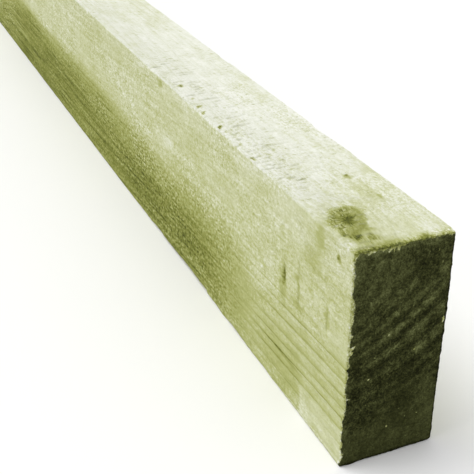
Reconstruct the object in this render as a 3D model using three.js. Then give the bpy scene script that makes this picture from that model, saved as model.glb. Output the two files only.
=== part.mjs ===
// Treated fence rail: one length of sawn softwood, pressure treated green, with a plain
// rectangular section and a square saw cut at each end.
//
// Frame, in millimetres: +X runs along the rail, Y goes through its thickness and +Z up its
// depth. The rail stands on its narrow edge, the way round that it is nailed to its posts,
// and the origin is the middle of its underside.
import * as THREE from 'three';

// Driving dimensions.
const RAIL_LENGTH = 1800; // one bay of fence, from post centre to post centre
const RAIL_THICKNESS = 38;
const RAIL_DEPTH = 87;
const ARRIS_RADIUS = 1.2; // the four long edges, left as sawn and a little worn
const END_BREAK = 0.5; // the edge round each end, broken where the saw came through

// Faces along the round of one arris.
const ARRIS_FACES = 4;

const TREATED_WOOD = new THREE.MeshStandardMaterial({
  name: 'treated_wood',
  color: '#b0b47e',
  roughness: 0.9,
  metalness: 0,
});

// A rectangle with its corners rounded: x goes through the thickness, y up the depth.
function sectionShape(thickness, depth, radius) {
  const side = thickness / 2 - radius;
  const low = radius;
  const high = depth - radius;
  const quarter = Math.PI / 2;
  const shape = new THREE.Shape();
  shape.absarc(side, low, radius, -quarter, 0);
  shape.absarc(side, high, radius, 0, quarter);
  shape.absarc(-side, high, radius, quarter, 2 * quarter);
  shape.absarc(-side, low, radius, 2 * quarter, 3 * quarter);
  shape.closePath();
  return shape;
}

// The section drawn out along the rail. The bevel is the broken edge of the two ends, and it
// is taken out of the length and the section, so the overall size stays as given.
function railGeometry() {
  const geometry = new THREE.ExtrudeGeometry(
    sectionShape(RAIL_THICKNESS, RAIL_DEPTH, ARRIS_RADIUS),
    {
      depth: RAIL_LENGTH - 2 * END_BREAK,
      steps: 1,
      curveSegments: ARRIS_FACES,
      bevelThickness: END_BREAK,
      bevelSize: END_BREAK,
      bevelOffset: -END_BREAK,
      bevelSegments: 1,
    },
  );
  geometry.translate(0, 0, END_BREAK - RAIL_LENGTH / 2);
  return geometry;
}

// The section is drawn in x and y and extruded along z. This turns it to the rail's frame:
// drawn x becomes Y, drawn y becomes Z, and the extrusion becomes X.
function alongX(mesh) {
  const across = new THREE.Vector3(0, 1, 0);
  const up = new THREE.Vector3(0, 0, 1);
  const along = new THREE.Vector3(1, 0, 0);
  mesh.quaternion.setFromRotationMatrix(new THREE.Matrix4().makeBasis(across, up, along));
  return mesh;
}

function fenceRail() {
  const rail = new THREE.Mesh(railGeometry(), TREATED_WOOD);
  rail.name = 'fence_rail';
  return alongX(rail);
}

const group = new THREE.Group();
group.name = 'treated_fence_rail';
group.add(fenceRail());

export default group;
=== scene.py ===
"""Looks of a treated fence rail: one length of rough sawn softwood, pressure treated green.

The wood is worked out in millimetres, in the rail's own coordinates, and only goes to metres
where Blender takes it over:
    along   from the near end, which the camera sees, to the far end
    across  from the middle of the thickness, with the camera's wide face at the low side
    up      from the underside to the top edge
"""
import math
from types import SimpleNamespace

import bpy
import numpy as np
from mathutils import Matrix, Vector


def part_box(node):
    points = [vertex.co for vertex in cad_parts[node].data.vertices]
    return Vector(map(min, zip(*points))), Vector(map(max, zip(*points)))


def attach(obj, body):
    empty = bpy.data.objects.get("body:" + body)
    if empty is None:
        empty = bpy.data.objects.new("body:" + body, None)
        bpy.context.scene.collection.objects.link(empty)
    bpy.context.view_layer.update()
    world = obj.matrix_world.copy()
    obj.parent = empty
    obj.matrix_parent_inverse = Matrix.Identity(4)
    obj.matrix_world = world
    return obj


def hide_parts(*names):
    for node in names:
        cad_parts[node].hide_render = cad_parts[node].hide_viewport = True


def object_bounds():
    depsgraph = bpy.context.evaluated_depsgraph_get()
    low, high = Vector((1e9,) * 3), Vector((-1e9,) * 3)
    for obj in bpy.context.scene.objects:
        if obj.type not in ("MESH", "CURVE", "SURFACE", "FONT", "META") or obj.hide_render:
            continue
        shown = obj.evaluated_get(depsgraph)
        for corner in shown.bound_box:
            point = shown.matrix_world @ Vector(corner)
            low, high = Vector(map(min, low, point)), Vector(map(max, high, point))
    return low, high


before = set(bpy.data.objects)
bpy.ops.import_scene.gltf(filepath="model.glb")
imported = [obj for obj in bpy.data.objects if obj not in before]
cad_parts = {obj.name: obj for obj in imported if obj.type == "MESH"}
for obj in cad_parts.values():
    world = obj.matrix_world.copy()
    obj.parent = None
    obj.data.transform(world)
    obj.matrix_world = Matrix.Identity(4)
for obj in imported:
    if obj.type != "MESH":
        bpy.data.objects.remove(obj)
CAD_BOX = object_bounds()

MM = 0.001
NODE = "fence_rail"
LOW, HIGH = (np.round(np.array(corner) / MM, 3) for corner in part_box(NODE))
LENGTH, THICKNESS, DEPTH = HIGH - LOW
SIDE = THICKNESS / 2  # from the middle of the thickness out to each wide face
ALONG, ACROSS, UP = 0, 1, 2


# ---- smooth steps and noise


def step(low, high, value):
    """0 at low, 1 at high and smooth between them. High may be the lower number."""
    t = np.clip((value - low) / (high - low), 0, 1)
    return t * t * (3 - 2 * t)


def bell(value, middle, width):
    """1 at the middle, falling smoothly to nothing about twice the width away."""
    return np.exp(-(((value - middle) / width) ** 2))


def lattice(cell, seed):
    """A repeatable random number from -1 to 1 for each whole-numbered cell."""
    h = cell[..., 0] * 73856093 ^ cell[..., 1] * 19349663 ^ cell[..., 2] * 83492791
    h = (h ^ seed * 2654435761) & 0xFFFFFFFF
    h = (h ^ (h >> 15)) * 2246822519 & 0xFFFFFFFF
    h = (h ^ (h >> 13)) * 3266489917 & 0xFFFFFFFF
    return ((h ^ (h >> 16)) & 0xFFFFFF) / 0x7FFFFF - 1


def noise(points, size, seed):
    """Smooth noise from -1 to 1. Size is that of its lumps, in mm, one or three numbers."""
    scaled = points / np.asarray(size, float)
    cell = np.floor(scaled).astype(np.int64)
    t = scaled - cell
    t = t * t * t * (t * (t * 6 - 15) + 10)
    total = 0
    for corner in np.ndindex(2, 2, 2):
        weight = np.prod(np.where(corner, t, 1 - t), axis=-1)
        total = total + weight * lattice(cell + np.array(corner), seed)
    return total


def rough(points, size, seed, layers=3):
    """Noise with finer noise on it, each layer half the size and half the height."""
    size = np.asarray(size, float)
    return sum(noise(points, size / 2**i, seed + i) / 2**i for i in range(layers))


# ---- the log it was sawn from

PITH_ACROSS, PITH_UP = -36.0, 138.0  # the log's heart lies outside the rail, up and to one side
RING_START = 97.3  # radius of one clear ring
RING_WIDTH = 5.12
RING_RUN = 5 * RING_WIDTH  # wide rings and narrow ones take turns over this much growth
RING_CHANGE = 0.19  # how far that moves a ring to either side, as a share of one ring


def pith(along):
    """Where the heart runs past each point: the trunk bends a little, so the grain drifts."""
    across = PITH_ACROSS + 5 * np.sin(along / 260) + 3 * np.sin(along / 97 + 1)
    up = PITH_UP - 22 * np.sin(along / 330) + 1.6 * np.sin(along / 61)
    return across - 3 * math.sin(1), up


def ring_count(radius):
    """How many rings lie inside a radius, counted from the ring at RING_START."""
    grown = radius - RING_START
    change = 1 - np.cos(2 * math.pi * grown / RING_RUN)
    return grown / RING_WIDTH - RING_CHANGE * change


class Knot:
    """A branch's foot: a cone with its tip at the heart. It shows where it meets a face, at
    the point `at`, with that radius there. It leans along the rail, and a branch that died
    young stops at `reach` from the heart."""

    def __init__(self, at, radius, lean, reach=400.0):
        heart_across, heart_up = pith(at[ALONG])
        out = np.array([0.0, at[ACROSS] - heart_across, at[UP] - heart_up])
        out /= np.linalg.norm(out)
        lean = math.radians(lean)
        self.axis = np.array([math.sin(lean), 0, 0]) + math.cos(lean) * out
        depth = math.hypot(at[ACROSS] - heart_across, at[UP] - heart_up) / math.cos(lean)
        self.tip = np.array(at) - self.axis * depth
        self.spread = radius / depth
        self.reach = reach / math.cos(lean)
        self.radius = radius
        side = np.array([1.0, 0, 0]) - self.axis[ALONG] * self.axis
        self.side = side / np.linalg.norm(side)
        self.other = np.cross(self.axis, self.side)

    def coordinates(self, points):
        """Where each point lies round the knot's middle, with its rim at length 1."""
        offset = points - self.tip
        out = offset @ self.axis
        gone = step(self.reach, self.reach + 6, out)
        rim = np.maximum(self.spread * out * (1 - gone), 0.02)
        return np.stack([offset @ self.side, offset @ self.other], -1) / rim[..., None]


KNOTS = [
    Knot(at=(20.7, -9.8, DEPTH), radius=6.6, lean=42, reach=64),
    Knot(at=(51.5, 7.0, DEPTH), radius=0.9, lean=20, reach=62),
    Knot(at=(33.0, 9.5, DEPTH), radius=0.7, lean=20, reach=62),
    Knot(at=(585.0, -SIDE, 60.0), radius=8.5, lean=24, reach=96),
    Knot(at=(640.0, SIDE, 66.0), radius=11.0, lean=18),
    Knot(at=(1012.0, 4.0, DEPTH), radius=9.0, lean=20, reach=110),
    Knot(at=(1060.0, -SIDE, 33.0), radius=7.0, lean=30),
    Knot(at=(1395.0, -SIDE, 56.0), radius=10.5, lean=16),
    Knot(at=(1440.0, SIDE, 44.0), radius=7.0, lean=26),
    Knot(at=(1660.0, SIDE, 75.0), radius=8.5, lean=20),
]
SWELL = 0.143  # how much wider the rings grew towards the high wide face
SWELL_MORE = 0.00126  # and how much more so for each mm up
SWELL_LEVEL = 36.0  # the height at which that leaves them in place
SWELL_LEAN = 0.009  # how far the rings lean in for each mm up, right across
KNOT_BEND = 0.9  # how far the rings swerve round a knot, as a share of its radius
KNOT_FAR = 6.0  # past this many radii a knot changes nothing


def knot_distance(knot, points):
    return np.minimum(np.linalg.norm(knot.coordinates(points), axis=-1), KNOT_FAR)


def nearest_knot(points):
    """The distance to the nearest knot, in radii of it."""
    return np.min([knot_distance(knot, points) for knot in KNOTS], axis=0)


def swelling(across, up):
    """How far the rings are drawn in: a little with height, and more towards the high wide
    face, where the trunk swelled."""
    rise = up - SWELL_LEVEL
    wider = step(-SIDE, -2, across)
    return wider * (SWELL * rise + SWELL_MORE * rise**2) + SWELL_LEAN * up


def grown(points):
    """The points as the tree grew them: along it, out from its heart and round it, in mm."""
    along, across, up = points.T
    heart_across, heart_up = pith(along)
    sideways, down = across - heart_across, heart_up - up
    radius = np.hypot(sideways, down)
    around = np.arctan2(sideways, down) * RING_START
    wander = 1.1 * rough(points, (170, 45, 45), seed=5)
    swerve = 0
    for knot in KNOTS:
        distance = knot_distance(knot, points)
        swerve = swerve + KNOT_BEND * knot.radius * np.exp(-((distance / 2.1) ** 2))
    out = radius + swelling(across, up) + wander - swerve
    return np.column_stack([along, out, around])


# ---- the mesh: lines and rows

EDGE_BAND = 1.2  # mm in from each arris where the mesh's long lines lie closer together
EDGE_ANGLES = np.radians([45, 33.75, 22.5, 11.25, 0])
EDGE_LINES = np.round(EDGE_BAND * (1 - np.tan(EDGE_ANGLES)), 6)
NARROW_CELLS, WIDE_CELLS = 60, 140  # across the flat of each face, at the finest


def face_lines(width, flat_cells):
    """Where the mesh's long lines cross a face: closer together round its arrises."""
    flat = np.linspace(EDGE_BAND, width - EDGE_BAND, flat_cells + 1)
    return np.concatenate([EDGE_LINES[:-1], flat, width - EDGE_LINES[-2::-1]])


ACROSS_LINES = face_lines(THICKNESS, NARROW_CELLS) - SIDE
UP_LINES = face_lines(DEPTH, WIDE_CELLS)
NARROW, WIDE = len(ACROSS_LINES) - 1, len(UP_LINES) - 1


def section_loop():
    """The box's outline round the section: up the low wide face, over the top edge, down the
    other wide face and back along the underside."""
    low, high = ACROSS_LINES[0], ACROSS_LINES[-1]
    up_low = [(low, up) for up in UP_LINES[:-1]]
    over_top = [(across, UP_LINES[-1]) for across in ACROSS_LINES[:-1]]
    down_high = [(high, up) for up in UP_LINES[:0:-1]]
    back_under = [(across, UP_LINES[0]) for across in ACROSS_LINES[:0:-1]]
    return np.array(up_low + over_top + down_high + back_under)


LOOP = section_loop()

# Each stretch of the rail: where it ends along the rail, the step between rows, and how many of
# the finest cells one cell takes in on the low wide face, top, high wide face and underside.
ALL_FINE, ALL_MIDDLE, ALL_COARSE = (1, 1, 1, 1), (2, 2, 2, 2), (4, 4, 4, 4)
NEAR_FINE, NEAR_MIDDLE = (1, 1, 2, 2), (2, 2, 4, 4)
STRETCHES = [
    (24.0, 0.6, NEAR_FINE),
    (215.0, 1.03, NEAR_MIDDLE),
    (600.0, 4.0, NEAR_MIDDLE),
    (1200.0, 7.5, ALL_COARSE),
    (LENGTH - 30, 7.5, ALL_COARSE),
    (LENGTH, 1.2, ALL_MIDDLE),
]
STRETCH_ENDS = [end for end, _, _ in STRETCHES]
FINE_UNTIL, FINE_FROM = STRETCH_ENDS[1], STRETCH_ENDS[4]  # rows between these are far apart
MAP_CUTS = STRETCH_ENDS[2:4]  # the bake's map is cut here, so rows have to fall here

# Knife-thin cuts across the low wide face: along, lowest, highest, depth, half width.
CUTS = [
    (47.7, 50.5, 57.5, 1.1, 0.45),
    (36.2, 46.5, 65.0, 0.4, 0.30),
    (14.9, 49.0, 58.0, 0.4, 0.35),
]
# A sliver torn off the low wide face's bottom arris: it starts at once and thins out slowly.
CHIP_START, CHIP_THINS, CHIP_END = 126.0, 145.0, 222.0
CHIP_BREAK = 0.7  # half of the stretch in which it starts


def rows():
    """Each row's place along the rail, and its cells."""
    places, start = [0.0], 0.0
    for end, pitch, _ in STRETCHES:
        count = max(round((end - start) / pitch), 1)
        places += list(np.linspace(start, end, count + 1)[1:])
        start = end
    for place, _, _, _, half in CUTS:
        places += [place - half, place, place + half]
    places += [CHIP_START - CHIP_BREAK, CHIP_START, CHIP_START + CHIP_BREAK]
    places = np.unique(np.round(places, 3))
    cells = [STRETCHES[i][2] for i in np.searchsorted(STRETCH_ENDS, places)]
    cells[0] = ALL_FINE  # the row that an end closes has the same cells on all its faces
    return places, cells


def columns(cells):
    """Which points of the loop a row uses."""
    counts = (WIDE, NARROW, WIDE, NARROW)
    starts = np.cumsum((0,) + counts[:-1])
    return np.concatenate(
        [np.arange(start, start + n, cell) for start, n, cell in zip(starts, counts, cells)]
    )


def build_grid():
    """Every point on the plain box, and the faces that join them."""
    places, cells = rows()
    points, faces = [], []
    total, last = 0, None
    for place, cell in zip(places, cells):
        used = columns(cell)
        row = (total, used)
        points.append(np.column_stack([np.full(len(used), place), LOOP[used]]))
        if last:
            faces += strip(*last, *row)
        total += len(used)
        last = row
    for place, cell, start in ((0.0, cells[0][0], 0), (LENGTH, cells[-1][0], last[0])):
        inner, cap = cap_faces(cell, start, total, place == 0.0)
        points.append(np.column_stack([np.full(len(inner), place), inner]))
        faces += cap
        total += len(inner)
    return np.concatenate(points), faces


def strip(start_a, used_a, start_b, used_b):
    """The faces between two neighbouring rows, which may use different points of the loop."""
    made = []
    i, j = 0, 0
    closed, past = len(LOOP), len(LOOP) + 1
    places_a, places_b = [*used_a, closed, past], [*used_b, closed, past]
    while i < len(used_a) or j < len(used_b):
        next_a, next_b = places_a[i + 1], places_b[j + 1]
        a, b = start_a + i % len(used_a), start_b + j % len(used_b)
        after_a, after_b = start_a + (i + 1) % len(used_a), start_b + (j + 1) % len(used_b)
        if next_a == next_b:
            made.append((a, after_a, after_b, b))
            i, j = i + 1, j + 1
        elif next_a < next_b:
            made.append((a, after_a, b))
            i += 1
        else:
            made.append((a, after_b, b))
            j += 1
    return made


def cap_faces(cell, loop_start, inner_start, near):
    """An end's inner points and its faces. Its rim is the row that it closes."""
    acrosses, ups = ACROSS_LINES[::cell], UP_LINES[::cell]
    n, m = len(acrosses) - 1, len(ups) - 1
    rim = {}
    for k in range(m):
        rim[0, k] = k
        rim[n, m - k] = m + n + k
    for i in range(n):
        rim[i, m] = m + i
        rim[n - i, 0] = 2 * m + n + i
    number = {key: loop_start + j for key, j in rim.items()}
    inner = []
    for i in range(1, n):
        for k in range(1, m):
            number[i, k] = inner_start + len(inner)
            inner.append((acrosses[i], ups[k]))
    made = []
    for i in range(n):
        for k in range(m):
            corners = [(i, k), (i + 1, k), (i + 1, k + 1), (i, k + 1)]
            face = [number[corner] for corner in corners]
            made.append(tuple(face if near else face[::-1]))
    return np.array(inner), made


# ---- its shape

SAW_PITCH = 3.1  # mm between the marks that the saw's teeth left
TEAR_DEPTH = 0.38  # mm that the torn notches in the top edge go down
BOW = 0.45  # mm that the high wide face bows out by the near end
END_SUNK = 0.32  # mm that the ends lie under the saw cut, inside their torn rims


def arris_radius(points):
    """How far each long edge is worn: a little everywhere, with chips here and there."""
    along, across, up = points.T
    wide = np.sign(across)
    high = np.where(up > DEPTH / 2, 1, -1)
    # The edges are taken this far apart, so that each has its own noise.
    apart = 50
    edge = np.column_stack([along, wide * apart, high * apart])
    worn = 0.5 + 0.2 * noise(edge, (9, 1, 1), seed=11) + 0.15 * noise(edge, (55, 1, 1), seed=12)
    worn = np.where(high < 0, 0.15 + 0.4 * worn, worn)
    chips = step(0.65, 0.95, noise(edge, (16, 1, 1), seed=13))
    torn = step(CHIP_START - CHIP_BREAK, CHIP_START + CHIP_BREAK, along)
    torn = torn * step(CHIP_END, CHIP_THINS, along)
    torn = torn * (2.6 + 0.7 * noise(edge, (12, 1, 1), seed=14))
    # The near end's two corners on the high side are knocked round.
    knocked = np.where(high < 0, 0.9 * step(9, 0, along), 0.6 * step(5, 0, along))
    return (
        np.maximum(worn, 0.25)
        + chips
        + np.where((wide < 0) & (high < 0), torn, 0)
        + np.where(wide > 0, knocked, 0)
    )


def end_radius(points):
    """How ragged the edge round an end is, where the saw tore the fibres off."""
    ragged = np.abs(rough(points * (0, 1, 1), 1.5, seed=21, layers=2))
    torn_side = np.maximum(points[:, UP] > DEPTH - 2, points[:, ACROSS] < 2 - SIDE)
    return np.minimum(0.2 + ragged * np.where(torn_side, 0.8, 0.3), 1.2)


def ridges(phase):
    """The hard late wood stands a little proud of the soft early wood."""
    return step(0.35, 0.9, phase % 1) * (1 - step(0.94, 1.0, phase % 1))


def fine_rows(points):
    """1 where the mesh's rows lie close enough to carry relief of a few mm along the rail."""
    along = points[:, ALONG]
    near, far = step(FINE_UNTIL, FINE_UNTIL - 15, along), step(FINE_FROM, FINE_FROM + 4, along)
    return np.maximum(near, far)


def tears(points):
    """Short notches across the grain that the saw's teeth tore out of the top edge, most of
    them by its low arris."""
    along, across, up = points.T
    wander = 1.6 * noise(points, (17, 9, 14), seed=24)
    turn = (along + wander) / SAW_PITCH % 1
    tooth = step(0.35, 0.85, np.abs(2 * turn - 1))
    broken = step(0.15, 0.65, rough(points, (2.2, 3.0, 3.0), seed=25, layers=2))
    reach = (0.25 + 0.75 * step(6, -14, across)) * (0.35 + 0.65 * step(-18.8, -16, across))
    stretch = 0.9 * step(25, 60, along) + 0.35 * step(60, 25, along)
    on_top = step(DEPTH - 1.0, DEPTH - 0.3, up)
    return tooth * broken * reach * stretch * on_top * fine_rows(points)


# Fibres that the saw pulled loose on the near end: across, up, length and lean in degrees.
SLIVERS = [
    (-13.2, 85.7, 2.4, 35),
    (-11.6, 86.0, 1.8, 80),
    (-8.0, 85.8, 2.2, 30),
    (-5.6, 85.4, 3.4, 50),
    (-4.2, 84.8, 3.8, 90),
    (-2.7, 85.0, 3.4, 122),
    (-17.2, 29.6, 3.4, -14),
    (-16.8, 50.6, 3.6, 48),
    (-17.4, 48.6, 2.2, 20),
    (-17.6, 55.5, 1.8, 100),
    (-10.0, 36.0, 1.6, 60),
    (-3.4, 52.4, 1.8, 30),
    (7.4, 43.6, 1.8, 70),
    (13.0, 81.4, 1.3, 80),
    (15.0, 76.4, 1.4, 60),
    (11.4, 15.0, 1.2, 60),
    (-1.0, 13.0, 1.3, 0),
    (17.9, 53.0, 4.0, 86),
]


def slivers(points):
    """How much of each point of the near end is a pulled fibre, from 0 to 1."""
    along, across, up = points.T
    most = np.zeros(len(points))
    for middle_across, middle_up, length, lean in SLIVERS:
        lean = math.radians(lean)
        right, rise = across - middle_across, up - middle_up
        way_along = right * math.cos(lean) + rise * math.sin(lean)
        beside = rise * math.cos(lean) - right * math.sin(lean)
        most = np.maximum(most, bell(way_along, 0, length / 2) * bell(beside, 0, 0.65))
    return step(0.2, 0.7, most) * (along == 0)


RIM_CORNER = 4.0  # mm: the radius in which the torn rim turns the near end's low top corner


def end_edge(points, facts):
    """How far each point is from the edge round the nearer end: over 0 on the end itself and under 0
    on the long faces, and ragged where the saw tore it. On the two sides that the saw did not tear,
    the bottom and the high side, the end's dark colour wraps round the edge as painted shade, so
    there it counts from further back."""
    _, across, up = points.T
    high_side = step(SIDE - 5, SIDE, across) * step(DEPTH - 1, DEPTH - 5, up)
    whole_and_shaded = np.maximum(step(5, 0, up), high_side)
    past_side = np.maximum(RIM_CORNER - (across + SIDE), 0)
    past_top = np.maximum(RIM_CORNER - (DEPTH - up), 0)
    inside = np.minimum(facts.inset, RIM_CORNER - np.hypot(past_side, past_top))
    inside = np.minimum(inside, 3)
    edge = np.where(facts.on_end, inside, -np.minimum(facts.end, 30))
    ragged = 0.55 * rough(points, (4.0, 2.1, 2.1), seed=26, layers=3)
    worn = 0.9 * bell(up, 18, 7) - 0.9 * bell(up, 65, 5)
    edge = edge + worn * step(8 - SIDE, 2 - SIDE, across)
    # On the bottom and the high side, which the saw did not tear, the end's dark colour reaches onto
    # the long faces as painted shade, and the rim is less ragged.
    edge = edge - 0.15 + 2.2 * whole_and_shaded + ragged * (1 - 0.7 * whole_and_shaded) * step(-8, -2, edge)
    return edge - np.maximum(edge - 0.2, 0) * slivers(points)


def round_drop(radius, inset):
    """How far an edge of that radius falls away at that distance from it."""
    return radius - np.sqrt(np.maximum(radius**2 - np.maximum(radius - inset, 0) ** 2, 0))


def shape_rail(points):
    """Rounds the plain box's edges and gives its faces their relief."""
    along, across, up = points.T
    end = np.minimum(along, LENGTH - along)
    on_end = (end == 0) & (np.abs(across) < SIDE) & (up > 0) & (up < DEPTH)
    on_rim = (end == 0) & ~on_end
    sign_across, sign_up = np.sign(across), np.where(up > DEPTH / 2, 1, -1)
    from_side = SIDE - np.abs(across)
    from_edge = np.minimum(up, DEPTH - up)

    radius = arris_radius(points)
    past_side = np.maximum(radius - from_side, 0)
    past_edge = np.maximum(radius - from_edge, 0)
    past = np.hypot(past_side, past_edge)
    # This share brings the box's square corner in to a quarter circle.
    share = np.maximum(past_side, past_edge) / np.maximum(past, 1e-9)
    new_across = np.where(past_side > 0, sign_across * (SIDE - radius + past_side * share), across)
    rounded_up = DEPTH / 2 + sign_up * (DEPTH / 2 - radius + past_edge * share)
    new_up = np.where(past_edge > 0, rounded_up, up)
    out = np.zeros_like(points)
    out[:, ACROSS] = sign_across * past_side / np.maximum(past, 1e-9)
    out[:, UP] = sign_up * past_edge / np.maximum(past, 1e-9)
    outward = np.where(along < LENGTH / 2, -1.0, 1.0)

    ragged = end_radius(points)
    inset = np.minimum(from_side, from_edge)
    rim_drop = ragged * (1 - math.sqrt(0.5))
    end_drop = np.where(on_rim, rim_drop, np.where(on_end, round_drop(ragged, inset), 0))
    side_drop = np.where(on_rim, rim_drop, np.where(on_end, 0, round_drop(ragged, end)))

    facts = SimpleNamespace(end=end, on_end=on_end, inset=inset, tears=tears(points))
    facts.log = grown(points)
    facts.phase = ring_count(facts.log[:, 1])
    facts.knot = nearest_knot(points)
    facts.edge = end_edge(points, facts)
    side_drop = side_drop + np.where(on_end, 0, side_relief(points, facts))
    end_drop = end_drop + np.where(on_end | on_rim, cap_relief(points, facts), 0)

    new = np.column_stack([along, new_across, new_up]) - out * side_drop[:, None]
    new[:, ALONG] -= outward * end_drop
    return new, facts


def side_relief(points, facts):
    """How far each point of the long faces lies under the sawn plane, in mm. It lies a little
    over it in places, but hardly on the underside, which the rail stands on."""
    along, across, up = points.T
    small = 0.35 + 0.65 * fine_rows(points)
    fuzz = 0.11 * noise(points, 1.7, seed=31) * small
    fuzz = fuzz + 0.09 * noise(facts.log, (9, 1.5, 1.5), seed=32)
    early = 0.04 * (1 - ridges(facts.phase))
    wash = 0.05 * noise(points, (17, 60, 60), seed=33)
    wave = np.sin(2 * math.pi * (along + 0.06 * up) / SAW_PITCH)
    saw = 0.04 * wave * step(0, 0.5, noise(points, 30, seed=34)) * fine_rows(points)
    in_knot = 1 - step(0.85, 1.1, facts.knot)
    rim = bell(facts.knot, 1.08, 0.13)
    burr = in_knot * 0.25 * rough(points, 2.4, seed=35) + 0.22 * rim - 0.12 * in_knot
    cuts = 0
    for place, low, high, deep, half in CUTS:
        inside = step(low - 1.5, low + 1, up) * (1 - step(high - 1, high + 1.5, up))
        cuts = cuts + deep * bell(along, place, half) * inside * (across < 1 - SIDE)
    level = 0.03 + 0.15 * step(1.5, 0, up)
    bowed = BOW * bell(up, 57, 16) * step(70, 10, along) * (across > SIDE - 0.01)
    torn = TEAR_DEPTH * facts.tears
    return level - bowed + fuzz + early + wash + saw + burr + cuts + torn


def cap_relief(points, facts):
    """How far each point of the two ends lies under the saw cut, in mm. The torn fringe of
    fibres round it stands proud."""
    soft = 0.09 * (1 - ridges(facts.phase))
    grit = 0.15 * rough(points, 1.9, seed=41)
    kerf = 0.05 * np.sin(2 * math.pi * (points[:, UP] + 0.35 * points[:, ACROSS]) / 4.3)
    fringe = 0.3 * step(1.1, 0.3, facts.edge)
    return np.maximum(END_SUNK + soft + grit + kerf - fringe, 0.0)


# ---- stains and tones


def stain(points):
    """How much green each point of the faces took up, from 0 to 1: a dark band low on the
    rail that starts a hand's width from its near end, and clouds elsewhere."""
    along, across, up = points.T
    drift = 9 * rough(points, (160, 30, 30), seed=51)
    band = step(56, 23, up + drift) * (0.76 + 0.24 * step(2, 12, up))
    along_band = step(62, 150, along + drift) * (1 - 0.55 * step(420, 700, along + 3 * drift))
    low_side = 1 - step(-SIDE, 0, across)
    clouds = step(0.1, 0.9, rough(points, (260, 34, 34), seed=52))
    return np.clip(band * along_band * low_side + 0.55 * clouds * step(260, 520, along), 0, 1)


def on_faces(top, side, reach):
    """Spots given along and across the top edge, and along and up the low wide face, as places
    in the wood: the middle, how far each reaches, and how strong it is."""
    on_top = [((x, y, DEPTH), (far_x, far_y, reach), s) for (x, y), (far_x, far_y), s in top]
    on_side = [((x, -SIDE, z), (far_x, reach, far_z), s) for (x, z), (far_x, far_z), s in side]
    return on_top + on_side


# Darker places on the top edge: the middle, how far each reaches, and how dark it is.
TOP_MARKS = [
    # the knot's torn tail, and olive fibres at the top of the near end
    ((9.5, -11.0), (6.5, 6.0), 0.10),
    ((11.4, -12.3), (2.8, 1.7), 0.26),
    ((7.6, -8.4), (2.7, 1.6), 0.24),
    ((8.2, -13.6), (2.8, 1.6), 0.28),
    ((12.8, -15.3), (3.0, 1.3), 0.26),
    ((12.2, -6.2), (1.4, 2.4), 0.12),
    ((3.0, -6.0), (4.5, 7.0), 0.07),
    ((5.4, -12.5), (3.4, 3.4), 0.09),
    ((1.6, 8.0), (3.6, 3.4), 0.10),
    ((1.2, 8.2), (2.2, 1.0), 0.22),
    # two small dark flecks on the top edge, and the green round them
    ((51.2, 6.8), (2.2, 1.7), 0.20),
    ((32.3, 9.6), (1.9, 1.4), 0.16),
    ((36.0, 7.0), (14.0, 3.5), 0.04),
    # small holes that the saw tore in the top edge, by its low arris, painted dark as the shade in
    # them
    ((57.5, -13.4), (1.3, 0.9), 0.32),
    ((78.5, -17.6), (1.2, 0.8), 0.40),
    ((83.3, -7.0), (1.2, 0.8), 0.32),
    ((94.0, -16.8), (1.2, 0.8), 0.32),
    ((113.6, -17.4), (1.4, 0.9), 0.72),
    ((131.0, -17.4), (1.3, 0.8), 0.38),
    ((138.5, -16.2), (1.3, 0.8), 0.44),
    ((148.5, -16.0), (1.4, 0.8), 0.42),
    ((166.8, -14.5), (1.6, 0.8), 0.40),
]
# And on the low wide face.
SIDE_MARKS = [
    # green that ran down from the knot
    ((21.5, 82), (3.6, 9.0), 0.085),
    ((27.0, 70), (7.5, 7.0), 0.06),
    # a black speck, and the cuts with thin dark lines beside them; the cuts' darkness is painted
    # shade in the slits
    ((8.5, 80.3), (1.7, 1.5), 0.32),
    ((47.6, 53.3), (1.5, 4.2), 0.33),
    ((48.4, 50.0), (3.4, 10.0), 0.10),
    ((36.2, 54.0), (1.2, 8.5), 0.11),
    ((14.8, 54.0), (1.6, 6.5), 0.10),
    ((32.0, 47.2), (14.0, 0.9), 0.09),
    ((110.0, 47.6), (80.0, 1.0), 0.07),
    ((33.0, 57.6), (13.0, 0.8), 0.06),
    # the duller low corner beside the dry patch
    ((50.0, 8.0), (17.0, 8.0), 0.03),
    # the darkest streak of late wood
    ((45.0, 17.9), (14.0, 1.1), 0.16),
    # a duller spot under the top arris, further along
    ((182.0, 84.0), (4.0, 3.0), 0.14),
]
MARKS = on_faces(TOP_MARKS, SIDE_MARKS, 3)
STAIN_DEPTH = 0.25  # how dark the stain is at its fullest, on the same scale


def away(points, middle, reach):
    """How far each point is from a spot's middle, as a share of the spot's reach."""
    return np.linalg.norm((points - middle) / reach, axis=1)


def marks(points):
    warp = [rough(points, (3.5, 2.2, 2.2), seed=70 + axis, layers=2) for axis in range(3)]
    warped = points + np.column_stack(warp) * (1.5, 0.9, 0.9)
    return sum(dark * step(1.25, 0.35, away(warped, *place)) for *place, dark in MARKS)


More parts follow.
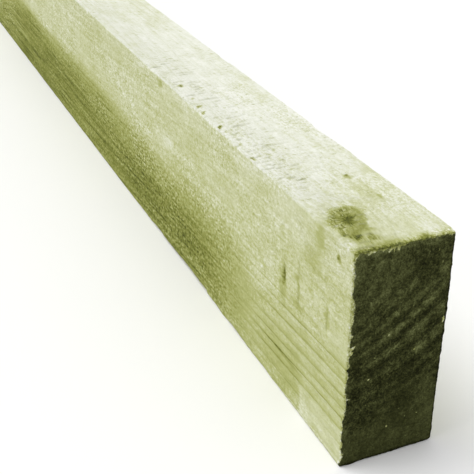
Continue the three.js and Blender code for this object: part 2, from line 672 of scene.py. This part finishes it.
# Soft patches, paler or duller than the wood round them: the middle, how far each reaches, and
# how much tone it adds.
TOP_PATCHES = [
    ((55, 16), (14, 3), -0.03),
    ((58, 0), (12, 9), 0.02),
    ((80, -17), (16, 3), 0.04),
    ((29, -7), (7, 5), 0.03),
    ((29, -13), (6, 3), 0.03),
    ((45, -11), (36, 6), 0.022),
    ((70, -13), (8, 3), 0.025),
]
SIDE_PATCHES = [
    ((175, 58), (11, 5), 0.05),
    ((148, 81), (5, 5), 0.05),
    ((68, 42), (22, 8), 0.055),
    ((150, 48), (26, 4.5), -0.04),
    ((142, 30), (22, 6), 0.04),
    ((143, 17), (26, 6), -0.055),
    ((215, 13), (30, 4), -0.03),
    ((48, 79), (12, 9), 0.035),
    ((10, 19), (9, 4), 0.025),
    ((36, 2.5), (9, 3), 0.045),
    ((19, 2.5), (4, 2.5), -0.045),
    ((124, 3), (6, 2.5), 0.06),
    ((103, 6), (7, 4), 0.035),
    ((28, 24), (5, 4), 0.04),
    ((178, 24), (10, 4), 0.04),
]
PATCHES = on_faces(TOP_PATCHES, SIDE_PATCHES, 6)


def patches(points):
    return sum(tone * bell(away(points, *place), 0, 1) for *place, tone in PATCHES)


def face_weights(points):
    """How much each point belongs to the top edge, the underside and the low wide face."""
    _, across, up = points.T
    top = step(DEPTH - 1.2, DEPTH - 0.2, up)
    under = 1 - step(0.2, 1.2, up)
    low_side = 1 - step(0.2 - SIDE, 1.2 - SIDE, across)
    return top, under, low_side


# Paler and darker patches of the ends: the middle, across and up, the reach and the tone.
END_PATCHES = [
    ((-4.0, 52.0), 4.5, 0.050),
    ((4.0, 64.0), 4.5, 0.045),
    ((12.0, 46.0), 4.5, 0.045),
    ((8.0, 52.0), 4.0, 0.035),
    ((-1.0, 78.0), 5.0, 0.035),
    ((-9.0, 70.0), 4.0, 0.030),
    ((14.0, 28.0), 5.0, 0.030),
    ((-16.0, 84.5), 3.0, 0.050),
    ((-8.0, 22.0), 4.0, -0.035),
    ((-12.0, 53.0), 5.0, -0.035),
]


def end_shade(points):
    """The tone of the two ends before their grain, dark partly from the treatment that end grain
    soaks up and partly as painted shade: the lower half soaked up most, and the edges round the
    bottom and the high side carry a dark line of painted shade."""
    _, across, up = points.T
    shade = (
        0.234
        + 0.055 * step(50, 80, up) * step(12, -8, across)
        - 0.03 * bell(up, 32, 15)
        - 0.05 * bell(across, 6, 5) * bell(up, 80, 9)
        + 0.035 * bell(across, 13, 5) * bell(up, 73, 12)
        + 0.04 * step(6, 17, across) * step(38, 22, up)
        + 0.09 * step(DEPTH - 4.5, DEPTH - 0.3, up)
        + 0.035 * step(4, 0.6, across + SIDE)
        + 0.02 * bell(up, 8, 8)
    )
    for (middle_across, middle_up), reach, tone in END_PATCHES:
        shade = shade + tone * bell(np.hypot(across - middle_across, up - middle_up), 0, reach)
    # Painted shade: a dark line along each end's bottom edge and along its high side's edge.
    return shade - 0.11 * step(1.5, 0.7, up) - 0.08 * step(1.1, 0.4, SIDE - across)


def grain(points, on_end):
    """How strongly the fine grain shows. Some patches of the faces are smoother than others."""
    along, across, up = points.T
    top, _, low_side = face_weights(points)
    coarse = step(-0.6, 0.6, rough(points, (36, 16, 16), seed=64))
    shown = (0.5 + 0.55 * coarse) * (1 - 0.1 * top) * (1 - 0.7 * top * step(160, 220, along))
    shown = shown + 1.6 * top * step(4.5, 0.5, along)
    shown = shown * (1 - 0.2 * low_side * step(68, 76, up) * step(50, 70, along))
    shown = shown * (1 - 0.1 * low_side * step(55, 45, along))
    shown = shown + low_side * step(75, 110, along) * (0.3 + 1.05 * step(54, 32, up))
    left = step(4, -12, across)
    lively = step(14 - 4 * left, 42 - 24 * left, up)
    on_cut = 0.50 + 0.37 * lively + 0.14 * left * bell(up, 30, 12)
    return np.where(on_end, on_cut, shown)


def look(points, on_end):
    """Three numbers for each point: its tone before grain and knots, from dark to pale, how
    clearly the rings show, and how clearly the saw's marks do."""
    along, across, up = points.T
    top, under, low_side = face_weights(points)
    heart_side = step(50, 40, up) * low_side  # the low face's duller part
    dry_corner = step(33.6, 31, along) * step(20, 8, up) * low_side
    # The top edge is paler than the wide faces and the underside a little darker: partly painted
    # light from above, partly the top's own paler tone.
    tone = 0.825 + 0.10 * top - 0.02 * under - 0.05 * heart_side + 0.085 * dry_corner
    tone = tone + top * (0.006 - 0.046 * step(85, 30, along) - 0.012 * step(25, 10, along))
    fringe = step(4.5, 0.5, along) * (0.35 + 0.65 * step(12, -10, across))
    torn = (0.07 + 0.05 * step(9, 5, across)) * step(1.8, 0.2, along)
    torn = torn + 0.07 * step(4.5, 0.5, along) * step(6, -8, across)
    tone = tone - top * (0.125 * fringe + torn)
    pulled = slivers(points)
    # On the ends the pale fringe is darker too: partly its olive colour, partly painted shade of the
    # ends.
    darker = 0.05 + 0.10 * step(DEPTH - 6, DEPTH - 1, up) * (1 - pulled)
    darker = darker + pulled * (0.03 - 0.02 * step(80, 84, up))
    tone = tone - np.where(on_end, darker, 0)
    # Painted shade: a darker band along the low wide face's bottom arris, by the near end.
    tone = tone - 0.06 * low_side * step(1.6, 0.5, up) * step(36, 28, along)
    tone = tone + 0.016 * rough(points, (75, 22, 22), seed=61)
    tone = tone + patches(points) + 0.022 * low_side * step(78, 84, up)
    near = step(85, 50, along)
    clearer = step(47, 43, up) * (0.024 + 0.036 * near) + 0.07 * near * bell(up, 21, 7)
    clearer = clearer * (1 - 0.85 * dry_corner)
    rings = 0.045 * (1 - low_side) * (1 - 0.7 * top) + low_side * (0.020 + clearer)
    rings = rings * (1 + 0.5 * rough(points, (60, 12, 12), seed=62))
    rings = rings + 0.16 * low_side * bell(up, 17.5, 1.8) * bell(along, 50, 20)
    clear = step(-18, -1, across) * bell(up, 52, 18) * (1 - 0.25 * step(6, 14, across))
    rings = np.where(on_end, 0.014 + 0.11 * clear, rings)
    saw = 0.35 + 0.65 * step(-0.1, 0.5, rough(points, (45, 30, 30), seed=63))
    saw = saw * (0.35 + 0.65 * top + 0.3 * low_side * step(50, 110, along))
    saw = saw * (1 - 0.4 * top * step(60, 20, along))
    return np.column_stack([tone, np.maximum(rings, 0), saw])


# ---- the rail as a Blender mesh


def to_frame(points):
    """From millimetres along the rail to the CAD model's frame, in metres."""
    return (points * (-1, 1, 1) + (HIGH[0], 0, 0)) * MM


def add_object(name, data):
    made = bpy.data.objects.new(name, data)
    bpy.context.scene.collection.objects.link(made)
    return made


def add_attribute(mesh, name, values, domain="POINT"):
    """A number or a vector for each point or face corner, for the material to read."""
    kind, key = ("FLOAT_VECTOR", "vector") if values.ndim == 2 else ("FLOAT", "value")
    layer = mesh.attributes.new(name, kind, domain)
    layer.data.foreach_set(key, values.astype(np.float32).ravel())


def face_corners(mesh, points):
    """Where each face corner of the mesh lies on the plain box, and its face's middle."""
    vertex = np.empty(len(mesh.loops), np.int32)
    mesh.loops.foreach_get("vertex_index", vertex)
    sizes = np.empty(len(mesh.polygons), np.int32)
    mesh.polygons.foreach_get("loop_total", sizes)
    face = np.repeat(np.arange(len(sizes)), sizes)
    places = points[vertex]
    sums = [np.bincount(face, places[:, axis]) for axis in range(3)]
    return places, (np.stack(sums, axis=1) / sizes[:, None])[face]


def knot_coordinates(places, middles):
    """Each corner in the coordinates of the knot that is nearest to its face's middle."""
    distances = [knot_distance(knot, middles) for knot in KNOTS]
    nearest = np.argmin(distances, axis=0)
    found = np.zeros((len(nearest), 3))
    for i, knot in enumerate(KNOTS):
        mine = nearest == i
        found[mine, :2] = knot.coordinates(places[mine])
    furthest = 4 * KNOT_FAR
    return np.clip(found, -furthest, furthest)


MAP_GAP = 4.0  # mm between the bake map's islands
SHARP_ANGLE = math.radians(50)  # faces that meet at more than this aren't shaded as one


def bake_map(places, middles):
    """A map that lays the long faces out as strips, cut to three lengths, with the ends beside them."""
    along, across, up = places.T
    middle_along, middle_across, middle_up = middles.T
    across = across + SIDE
    round_length = 2 * (THICKNESS + DEPTH)
    third = np.searchsorted(MAP_CUTS, middle_along)
    start = np.array([0.0, *MAP_CUTS])[third]
    hair = 1e-6
    on_low = middle_across < hair - SIDE
    on_high = middle_across > SIDE - hair
    on_top = middle_up > DEPTH - hair
    way_round = np.select(
        [on_low, on_top, on_high],
        [up, DEPTH + across, 2 * DEPTH + THICKNESS - up],
        2 * DEPTH + 2 * THICKNESS - across,
    )
    u = along - start + MAP_GAP
    v = way_round + third * (round_length + MAP_GAP) + MAP_GAP
    near_end = middle_along < hair
    far_end = middle_along > LENGTH - hair
    beside = MAP_CUTS[0] + 2 * MAP_GAP
    u = np.where(near_end | far_end, beside + up, u)
    v = np.where(near_end, MAP_GAP + across, v)
    v = np.where(far_end, 2 * MAP_GAP + THICKNESS + across, v)
    width = beside + DEPTH + MAP_GAP
    height = 3 * (round_length + MAP_GAP) + MAP_GAP
    return np.column_stack([u / width, v / height])


def make_rail():
    points, faces = build_grid()
    shaped, facts = shape_rail(points)
    mesh = bpy.data.meshes.new("sawn_rail")
    mesh.from_pydata(to_frame(shaped).tolist(), [], faces)
    places, middles = face_corners(mesh, points)
    add_attribute(mesh, "log", facts.log)
    add_attribute(mesh, "ring", facts.phase)
    add_attribute(mesh, "edge", facts.edge)
    add_attribute(mesh, "tear", facts.tears)
    add_attribute(mesh, "look", look(points, facts.on_end))
    add_attribute(mesh, "spot", STAIN_DEPTH * stain(points) + marks(points))
    add_attribute(mesh, "soak", end_shade(points))
    add_attribute(mesh, "grain", grain(points, facts.on_end))
    add_attribute(mesh, "knot", knot_coordinates(places, middles), "CORNER")
    layer = mesh.uv_layers.new(name="OFBake")
    layer.data.foreach_set("uv", bake_map(places, middles).astype(np.float32).ravel())
    mesh.shade_smooth()
    mesh.set_sharp_from_angle(angle=SHARP_ANGLE)
    return add_object("sawn_rail", mesh)


# ---- the wood's material


def srgb(red, green, blue):
    """A colour as read off a screen, from 0 to 255, in the linear values that Blender uses."""
    def linear(c):
        c /= 255
        return c / 12.92 if c <= 0.04045 else ((c + 0.055) / 1.055) ** 2.4

    return linear(red), linear(green), linear(blue), 1.0


# The wood's colour at each tone, from soaked end grain to dry pale sapwood.
TONES = {
    0.11: srgb(22, 25, 3),
    0.23: srgb(53, 57, 26),
    0.35: srgb(86, 90, 45),
    0.50: srgb(121, 127, 57),
    0.62: srgb(154, 158, 86),
    0.74: srgb(185, 189, 126),
    0.85: srgb(214, 217, 178),
    0.93: srgb(237, 239, 223),
    1.00: srgb(250, 251, 240),
}
# The ends' colour at each tone. It holds painted shade as well as the end grain's own dark green.
END_TONES = {
    0.11: srgb(22, 24, 4),
    0.23: srgb(53, 56, 27),
    0.35: srgb(84, 88, 51),
    0.50: srgb(120, 126, 80),
}
# The torn marks and holes in the top edge are nearly a plain grey, as their darkness is painted
# shade in them.
GREY_TONES = {
    0.23: srgb(46, 47, 42),
    0.50: srgb(118, 120, 110),
    0.74: srgb(181, 183, 172),
    0.93: srgb(236, 237, 231),
}


class Nodes:
    """Short ways of adding shader nodes to a material or world, which starts with none. A
    value is a number or a socket."""

    def __init__(self, owner):
        owner.use_nodes = True
        self.tree = owner.node_tree
        self.tree.nodes.clear()

    def add(self, kind, inputs=None, **settings):
        node = self.tree.nodes.new("ShaderNode" + kind)
        for name, value in settings.items():
            setattr(node, name, value)
        for name, value in (inputs or {}).items():
            self.feed(node.inputs[name], value)
        return node

    def feed(self, socket, value):
        if isinstance(value, bpy.types.NodeSocket):
            self.tree.links.new(value, socket)
        else:
            socket.default_value = value

    def surface(self, inputs):
        shader = self.add("BsdfPrincipled", inputs).outputs[0]
        self.add("OutputMaterial", {"Surface": shader}, is_active_output=True)

    def math(self, operation, *values):
        return self.add("Math", dict(enumerate(values)), operation=operation).outputs[0]

    def chain(self, operation, values):
        total = values[0]
        for value in values[1:]:
            total = self.math(operation, total, value)
        return total

    def sum(self, *values):
        return self.chain("ADD", values)

    def times(self, *values):
        return self.chain("MULTIPLY", values)

    def ramp(self, value, low, high):
        """0 at low, 1 at high and smooth between them. High may be the lower number."""
        inputs = {"Value": value, "From Min": low, "From Max": high}
        return self.add("MapRange", inputs, interpolation_type="SMOOTHSTEP").outputs[0]

    def mix(self, share, a, b):
        """One number at share 0 and the other at 1."""
        return self.add("Mix", {0: share, 2: a, 3: b}, data_type="FLOAT").outputs[0]

    def blend(self, share, a, b):
        """The same for colours."""
        return self.add("Mix", {0: share, 6: a, 7: b}, data_type="RGBA").outputs[2]

    def colours(self, value, stops):
        """The colour at a value, from a dictionary of place to colour."""
        node = self.add("ValToRGB", {0: value})
        elements = node.color_ramp.elements
        places = sorted(stops)
        while len(elements) < len(places):
            elements.new(0.5)
        for element, place in zip(elements, places):
            element.position = place
            element.color = stops[place]
        return node.outputs[0]

    def scaled(self, place, scale):
        scales = scale if isinstance(scale, tuple) else (scale,) * 3
        return self.add("VectorMath", {0: place, 1: scales}, operation="MULTIPLY").outputs[0]

    def parts(self, vector):
        return self.add("SeparateXYZ", {0: vector}).outputs[:3]

    def noise(self, place, size, detail=2.0, roughness=0.55):
        """Noise from about -1 to 1 with lumps of that size, in the units of place."""
        moved = self.scaled(place, tuple(1 / s for s in size))
        inputs = {"Vector": moved, "Scale": 1.0, "Detail": detail, "Roughness": roughness}
        found = self.add("TexNoise", inputs, noise_dimensions="3D").outputs[0]
        return self.math("MULTIPLY_ADD", found, 2.0, -1.0)

    def attribute(self, name, output="Fac"):
        node = self.add("Attribute", attribute_name=name, attribute_type="GEOMETRY")
        return node.outputs[output]


def wood_material():
    material = bpy.data.materials.new("sawn_treated_wood")
    n = Nodes(material)
    numbers = ("ring", "edge", "spot", "soak", "tear", "grain")
    wood = SimpleNamespace(**{name: n.attribute(name) for name in numbers})
    wood.place = n.scaled(n.add("TexCoord").outputs["Object"], 1 / MM)
    wood.log = n.attribute("log", "Vector")
    wood.tone, wood.ring_show, wood.saw_show = n.parts(n.attribute("look", "Vector"))

    # Fibres run along the log. Across an end they show as fine dots.
    wood.fibre = n.noise(wood.log, (8, 0.8, 0.8), detail=3, roughness=0.9)
    wood.streak = n.noise(wood.log, (60, 2.2, 2.2), detail=3, roughness=0.7)
    wood.grit = n.noise(wood.place, (2.4, 1.6, 1.6), detail=3, roughness=0.9)
    wood.speck = n.noise(wood.place, (1.2, 0.8, 0.8), detail=2, roughness=0.9)
    wood.crumb = n.noise(wood.place, (2.0, 1.1, 1.1), detail=1)
    wood.mottle = n.noise(wood.place, (13, 8, 8), detail=3, roughness=0.8)
    wood.frayed = n.sum(wood.ring, n.times(wood.streak, 0.13), n.times(wood.fibre, 0.03))

    late = late_wood(n, wood)
    saw_mark = saw_marks(n, wood)
    tone = side_tone(n, wood, late, saw_mark)
    tone = knots(n, wood, tone)
    on_end, end = end_grain(n, wood)
    # The torn notches and holes take the grey of their painted shade.
    holes = n.ramp(wood.spot, 0.46, 0.62)
    grey = n.times(n.math("MINIMUM", n.sum(wood.tear, holes), 1.0), 0.75)
    side_colour = n.blend(grey, n.colours(tone, TONES), n.colours(tone, GREY_TONES))
    colour = n.blend(on_end, side_colour, n.colours(end, END_TONES))
    height = n.sum(
        n.times(wood.fibre, 0.22),
        n.times(wood.grit, 0.34),
        n.times(wood.mottle, 0.25),
        n.times(late, wood.ring_show, 0.8),
        n.times(saw_mark, -0.30),
    )
    bump = n.add("Bump", {"Height": height, "Distance": MM, "Strength": 1.0})
    roughness = n.math("MULTIPLY_ADD", wood.grit, 0.05, 0.88)
    inputs = {"Base Color": colour, "Roughness": roughness, "Normal": bump.outputs[0]}
    n.surface({**inputs, "Specular IOR Level": 0.05})
    return material


def late_wood(n, wood):
    """A ring is pale early wood that darkens to a hard line of late wood, and starts again."""
    part = n.math("FRACT", wood.frayed)
    darker = n.times(n.ramp(part, 0.35, 0.90), 0.4)
    line = n.times(n.ramp(part, 0.76, 0.91), 0.8)
    return n.times(n.sum(darker, line), n.ramp(part, 1.0, 0.94))


def saw_marks(n, wood):
    """The saw's teeth left short broken marks across the grain."""
    bent = n.noise(wood.place, (60, 25, 25), detail=1)
    x, _, z = n.parts(wood.place)
    beat = n.sum(n.times(x, 1 / SAW_PITCH), n.times(z, 0.02), n.times(bent, 0.8))
    tooth = n.ramp(n.math("PINGPONG", beat, 0.5), 0.25, 0.5)
    broken = n.ramp(n.noise(wood.place, (1.4, 3.6, 3.6), detail=3, roughness=0.7), 0.08, 0.42)
    return n.times(tooth, broken, wood.saw_show)


def side_tone(n, wood, late, saw_mark):
    """The tone of clear wood on the long faces."""
    uneven = n.sum(1.0, n.times(wood.streak, 1.5), n.times(wood.fibre, 1.3), n.times(wood.grit, 1.2))
    threads = n.ramp(n.noise(wood.log, (120, 1.3, 1.3), detail=2, roughness=0.7), 0.0, 0.5)
    lines = n.sum(late, n.times(threads, 0.35))
    rings = n.times(lines, wood.ring_show, n.math("MAXIMUM", uneven, 0.0))
    blotchy = n.sum(0.82, n.times(wood.streak, 1.1), n.times(wood.mottle, 0.5))
    blotchy = n.sum(blotchy, n.times(wood.fibre, 0.7), n.times(threads, 0.75))
    blotchy = n.sum(blotchy, n.times(wood.grit, 0.9), n.times(wood.speck, 0.5))
    thin = n.ramp(n.noise(wood.place, (0.7, 2.0, 2.0), detail=1), -0.25, 0.15)
    # painted shade in the small holes
    holes = n.times(n.ramp(wood.spot, 0.42, 0.62), thin, 0.34)
    spots = n.sum(n.times(wood.spot, n.math("MAXIMUM", blotchy, 0.0)), holes)
    pit = n.ramp(n.noise(wood.place, (2.8, 1.5, 1.5), detail=2), 0.36, 0.56)
    fleck = n.ramp(n.noise(wood.log, (4.0, 1.4, 1.4), detail=2), 0.30, 0.50)
    torn = n.times(wood.tear, n.math("MULTIPLY_ADD", wood.grit, 2.0, 1.0))
    margin = n.times(n.ramp(wood.edge, -2.0, -0.2), wood.saw_show, 0.11)
    margin = n.times(margin, n.math("MULTIPLY_ADD", wood.grit, 4.0, 1.0))
    hair = n.noise(wood.place, (1.5, 0.8, 1.1), detail=2, roughness=0.8)
    hairs = n.times(n.ramp(wood.edge, -1.4, 0.1), hair)
    fine = n.sum(
        n.times(wood.fibre, 0.06),
        n.times(wood.grit, n.math("MULTIPLY_ADD", wood.saw_show, 0.10, 0.08)),
        n.times(wood.speck, 0.11),
        n.times(wood.crumb, wood.grain, 0.06),
        n.times(pit, -0.08),
        n.times(fleck, 0.05),
    )
    return n.sum(
        wood.tone,
        n.times(n.sum(rings, spots, margin), -1.0),
        # painted shade in the torn notches
        n.times(torn, -0.15),
        n.times(hairs, 0.45),
        n.times(fine, wood.grain),
        n.times(wood.streak, 0.08),
        n.times(wood.mottle, n.math("MULTIPLY_ADD", wood.spot, 0.26, 0.085)),
        # painted shade in the saw's marks
        n.times(saw_mark, -0.18),
    )


def knots(n, wood, tone):
    """Knots are olive, half smooth and half torn, and darkest in the middle."""
    flat = n.attribute("knot", "Vector")
    knot_u, knot_v, _ = n.parts(flat)
    way = n.add("VectorMath", {0: flat}, operation="LENGTH").outputs["Value"]
    ragged = n.noise(wood.place, (4.5, 4.5, 4.5), detail=4, roughness=0.75)
    torn_side = n.sum(n.times(knot_u, 0.7), n.times(knot_v, 0.7), n.times(ragged, 0.5))
    torn = n.ramp(torn_side, -0.35, 0.1)
    tufts = n.noise(wood.place, (1.7, 1.0, 1.0), detail=3, roughness=0.8)
    way = n.sum(way, n.times(ragged, 0.50), n.times(torn, tufts, 0.6))
    inside = n.ramp(way, 1.15, 0.85)
    turned = n.add("VectorMath", {0: flat}, operation="NORMALIZE").outputs[0]
    out = n.add("CombineXYZ", {2: n.times(way, 0.6)}).outputs[0]
    spoke_place = n.add("VectorMath", {0: turned, 1: out}, operation="ADD").outputs[0]
    spokes = n.noise(spoke_place, (0.16, 0.16, 0.6), detail=3, roughness=0.7)
    heart_way = n.sum(way, n.times(tufts, 0.35), n.times(spokes, 0.4))
    heart = n.ramp(heart_way, 0.55, 0.05)
    rim = n.times(n.ramp(way, 0.70, 0.92), n.ramp(tufts, -0.05, 0.15))
    holes = n.times(torn, n.ramp(tufts, 0.16, 0.36))
    bright = n.times(torn, n.ramp(n.noise(wood.place, (1.4, 1.0, 1.0), detail=1), 0.34, 0.5))
    knot_tone = n.sum(
        0.665,
        n.times(heart, -0.26),
        n.times(spokes, n.math("MULTIPLY_ADD", torn, 0.14, 0.08)),
        n.times(rim, -0.09),
        n.times(holes, -0.18),
        n.times(bright, 0.22),
        n.times(tufts, n.math("MULTIPLY_ADD", torn, -0.75, 0.18)),
        n.times(n.math("SINE", n.times(way, 22.0)), 0.012),
    )
    halo = n.ramp(way, 1.9, 0.9)
    return n.mix(inside, n.sum(tone, n.times(halo, -0.05)), knot_tone)


def end_grain(n, wood):
    """End grain soaks up the most treatment, so the ends are dark, and painted shade makes them
    darker still; they have a pale torn rim. The rings show there as soft bands."""
    frill = n.noise(wood.place, (2.2, 1.3, 1.3), detail=2, roughness=0.9)
    on_end = n.ramp(n.sum(wood.edge, n.times(frill, 1.2)), 0.2, 0.9)
    dots = n.ramp(n.noise(wood.place, (1.7, 1.5, 1.5), detail=1), 0.44, 0.60)
    broken = n.math("MAXIMUM", n.sum(1.0, n.times(wood.mottle, 2.2)), 0.0)
    arcs = n.noise(wood.log, (40, 1.8, 9), detail=2, roughness=0.8)
    turn = n.times(n.math("SUBTRACT", wood.frayed, 0.15), 2 * math.pi)
    band = n.math("MULTIPLY_ADD", n.math("SINE", turn), 0.6, 0.1)
    tone = n.sum(
        wood.soak,
        n.times(band, wood.ring_show, broken),
        n.times(arcs, wood.ring_show),
        n.times(wood.mottle, wood.grain, 0.22),
        n.times(wood.grit, wood.grain, 0.18),
        n.times(wood.speck, wood.grain, 0.20),
        n.times(dots, 0.20),
    )
    return on_end, tone


# ---- floor, light and camera

FLOOR_HALF = 60.0  # metres
FLOOR_COLOUR = (0.93, 0.93, 0.93, 1.0)
SKY_STRENGTH = 0.70
SUN_STRENGTH = 1.45
SUN_WIDTH = 35  # how wide the lamp looks from the rail, in degrees
SUN_TILT, SUN_TURN = 24, -30  # how far it leans from straight overhead and which way, in degrees


def floor_material():
    material = bpy.data.materials.new("pale_floor")
    n = Nodes(material)
    n.surface({"Base Color": FLOOR_COLOUR, "Roughness": 1.0, "Specular IOR Level": 0.0})
    return material


def make_floor():
    half = FLOOR_HALF
    corners = [(-half, -half, 0), (half, -half, 0), (half, half, 0), (-half, half, 0)]
    mesh = bpy.data.meshes.new("floor")
    mesh.from_pydata(corners, [], [(0, 1, 2, 3)])
    mesh.materials.append(floor_material())
    floor = add_object("floor", mesh)
    floor.location.z = CAD_BOX[0].z


def make_world():
    """An even pale sky. What the camera and mirrors see of it is white."""
    world = bpy.data.worlds.new("studio")
    bpy.context.scene.world = world
    n = Nodes(world)
    path = n.add("LightPath").outputs
    seen = n.math("MAXIMUM", path["Is Camera Ray"], path["Is Glossy Ray"])
    seen = n.math("MAXIMUM", seen, path["Is Transmission Ray"])
    white = (1.0, 1.0, 1.0, 1.0)
    sky = n.add("Background", {"Color": white, "Strength": n.mix(seen, SKY_STRENGTH, 1.0)})
    n.add("OutputWorld", {"Surface": sky.outputs[0]})


def make_sun():
    """One broad lamp, high on the camera's left and over the rail's length, so the top edge is
    brightest and the near end darkest."""
    light = bpy.data.lights.new("softbox", "SUN")
    light.energy = SUN_STRENGTH
    light.angle = math.radians(SUN_WIDTH)
    lamp = add_object("softbox", light)
    lamp.rotation_euler = (math.radians(SUN_TILT), 0, math.radians(SUN_TURN))


CAMERA_FROM_END = np.array([217.9, -152.7, 230.6])  # from the near end's foot, in mm
CAMERA_TURN = 23.40  # how far its view is turned off the rail's length, in degrees
CAMERA_DIP = 28.55  # how far it looks down
CAMERA_LENS = 71.6


def make_camera():
    camera = bpy.data.cameras.new("camera")
    camera.lens = CAMERA_LENS
    camera.sensor_width = 36.0
    camera.clip_start = 0.01
    camera.clip_end = 200.0
    holder = add_object("camera", camera)
    foot = np.array([HIGH[0], 0, LOW[2]])
    holder.location = (foot + CAMERA_FROM_END) * MM
    holder.rotation_euler = (math.radians(90 - CAMERA_DIP), 0, math.radians(90 - CAMERA_TURN))
    bpy.context.scene.camera = holder


# ---- the scene

bpy.context.scene.view_settings.view_transform = "Standard"
make_camera()
make_floor()
make_world()
make_sun()

rail = make_rail()
rail.data.materials.append(wood_material())
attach(rail, "root")
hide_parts(NODE)
